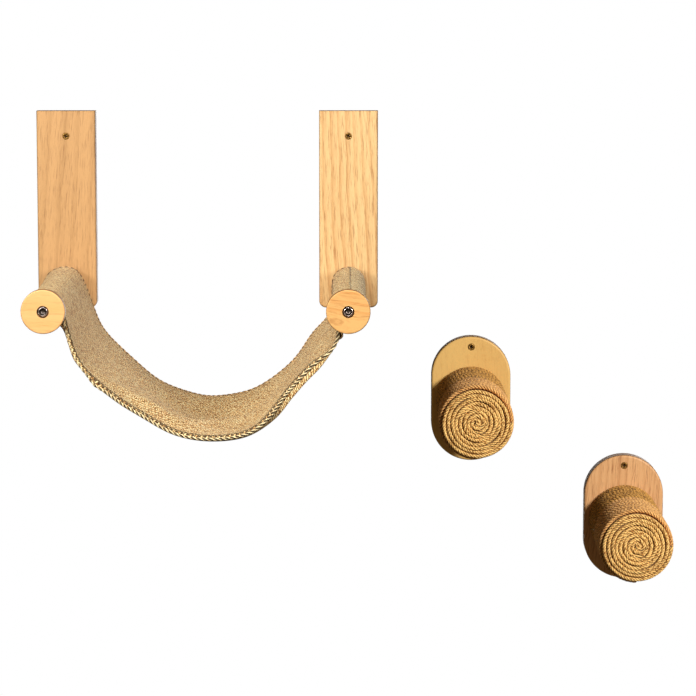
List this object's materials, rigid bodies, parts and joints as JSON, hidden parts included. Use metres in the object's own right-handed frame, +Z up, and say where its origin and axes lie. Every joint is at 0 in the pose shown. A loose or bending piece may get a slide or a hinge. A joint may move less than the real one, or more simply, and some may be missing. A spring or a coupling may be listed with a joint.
{
  "type": "wall-mounted cat hammock set",
  "caption": "Cloth sling hung between dowels on wall boards, with rope-wound climbing steps on stadium wall plates.",
  "frame": {"origin": "on the wall plane, midway between the axes of the two dowels", "axes": "+Z up, +Y into the wall (the set stands out towards -Y), +X to the right along the wall"},
  "size_m": [0.7505, 0.36, 0.564],
  "materials": {
    "board_wood": "pale oiled hardwood, straight vertical grain",
    "dowel_wood": "sanded turned hardwood",
    "cap_wood": "sanded turned hardwood, grain across",
    "golden_wood": "smooth golden hardwood",
    "rosy_wood": "pinkish hardwood with short vertical grain",
    "core_wood": "plain turned softwood, hidden by rope",
    "jute_cloth": "coarse herringbone jute, whip stitched hems",
    "light_rope": "light three strand jute rope",
    "dark_rope": "darker three strand jute rope",
    "bright_steel": "bright plated steel",
    "plated_steel": "zinc plated steel",
    "brass_screw": "yellow passivated screw steel"
  },
  "bodies": {
    "wall_parts": {"left_board": "board_wood", "left_dowel": "dowel_wood", "left_end_cap": "cap_wood", "left_cap_bolt": "bright_steel", "left_cap_washer": "bright_steel", "left_front_insert": "plated_steel", "left_rear_insert": "plated_steel", "left_hanger_bolt": "plated_steel", "right_board": "board_wood", "right_dowel": "dowel_wood", "right_end_cap": "cap_wood", "right_cap_bolt": "bright_steel", "right_cap_washer": "bright_steel", "right_front_insert": "plated_steel", "right_rear_insert": "plated_steel", "right_hanger_bolt": "plated_steel", "board_screws": "brass_screw", "step_1_plate": "golden_wood", "step_1_core": "core_wood", "step_1_rear_winding": "dark_rope", "step_1_front_winding": "light_rope", "step_1_face_coil": "light_rope", "step_1_wall_screws": "brass_screw", "step_1_core_screws": "plated_steel", "step_2_plate": "rosy_wood", "step_2_core": "core_wood", "step_2_rear_winding": "dark_rope", "step_2_front_winding": "light_rope", "step_2_face_coil": "light_rope", "step_2_wall_screws": "brass_screw", "step_2_core_screws": "plated_steel"},
    "sling": {"sling": "jute_cloth"}
  },
  "joints": [
    {"name": "sling_slide", "type": "slide", "parent": "wall_parts", "child": "sling", "axis": [0, 1, 0], "range_m": [-0.0027, 0.0027]}
  ]
}
